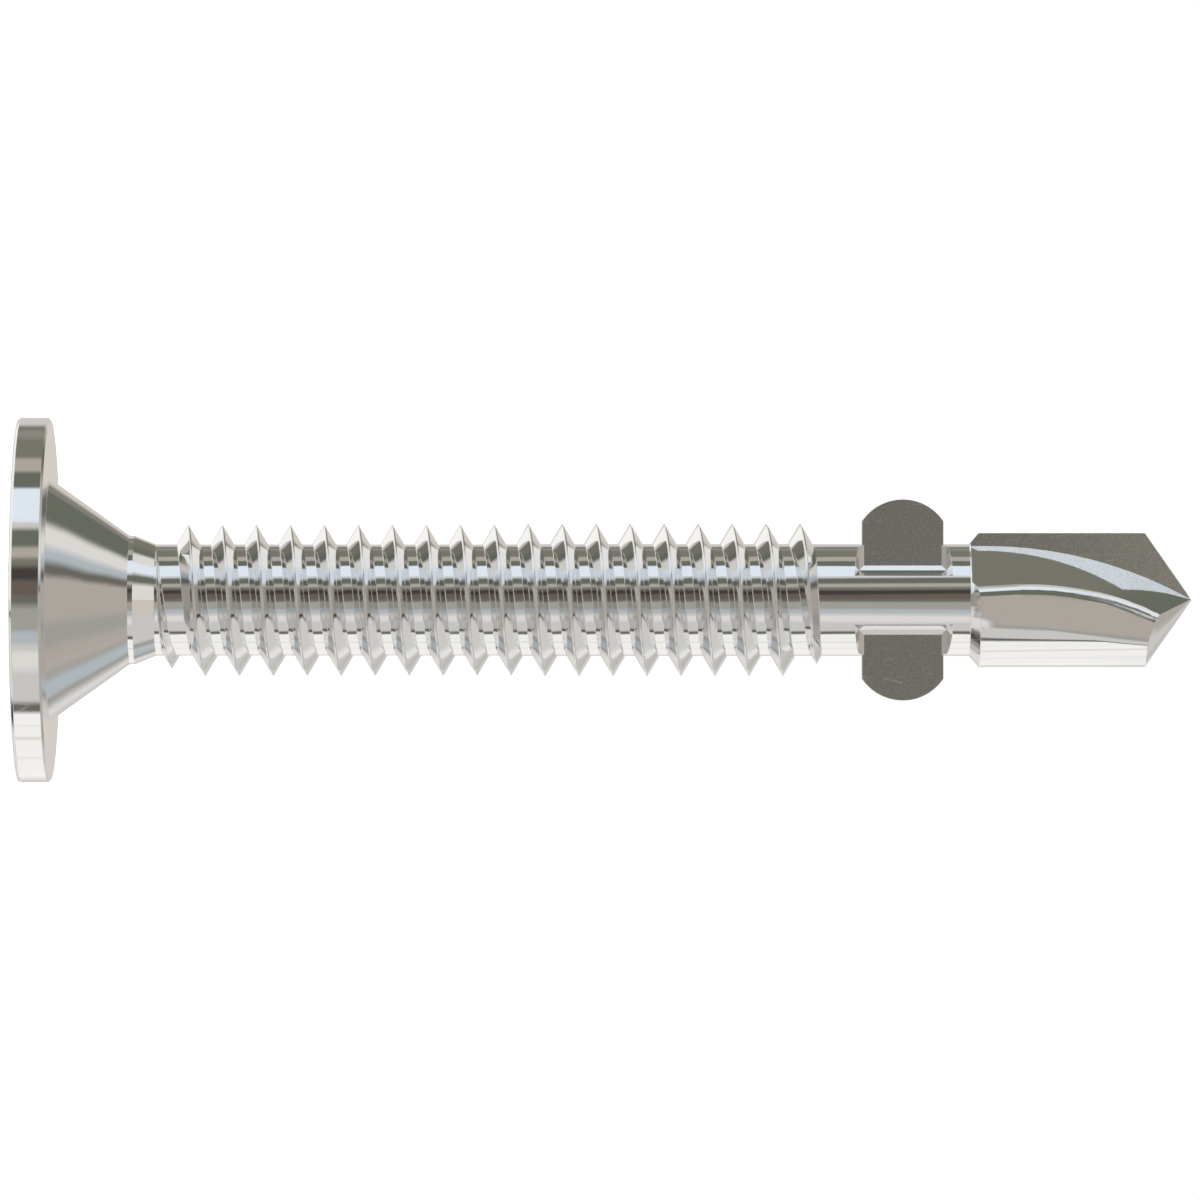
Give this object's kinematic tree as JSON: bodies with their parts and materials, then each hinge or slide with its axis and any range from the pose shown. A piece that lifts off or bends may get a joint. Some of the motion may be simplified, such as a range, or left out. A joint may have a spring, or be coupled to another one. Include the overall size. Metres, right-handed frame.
{
  "type": "self drilling screw",
  "caption": "Wafer-head self-drilling screw with a rolled thread, pinched wings that clear the hole, and a fluted drill point.",
  "frame": {"origin": "centre of the head's flat outer face, which is the lowest plane of the screw as it stands on its head", "axes": "+Z runs along the screw's axis from the head to the drill point; X runs along the span of the wings, whose flats face -Y and +Y"},
  "size_m": [0.0114, 0.0114, 0.0365],
  "materials": {
    "zinc_plated_steel": "bright zinc plating, smooth and glossy"
  },
  "bodies": {
    "root": {"screw": "zinc_plated_steel"}
  },
  "joints": []
}
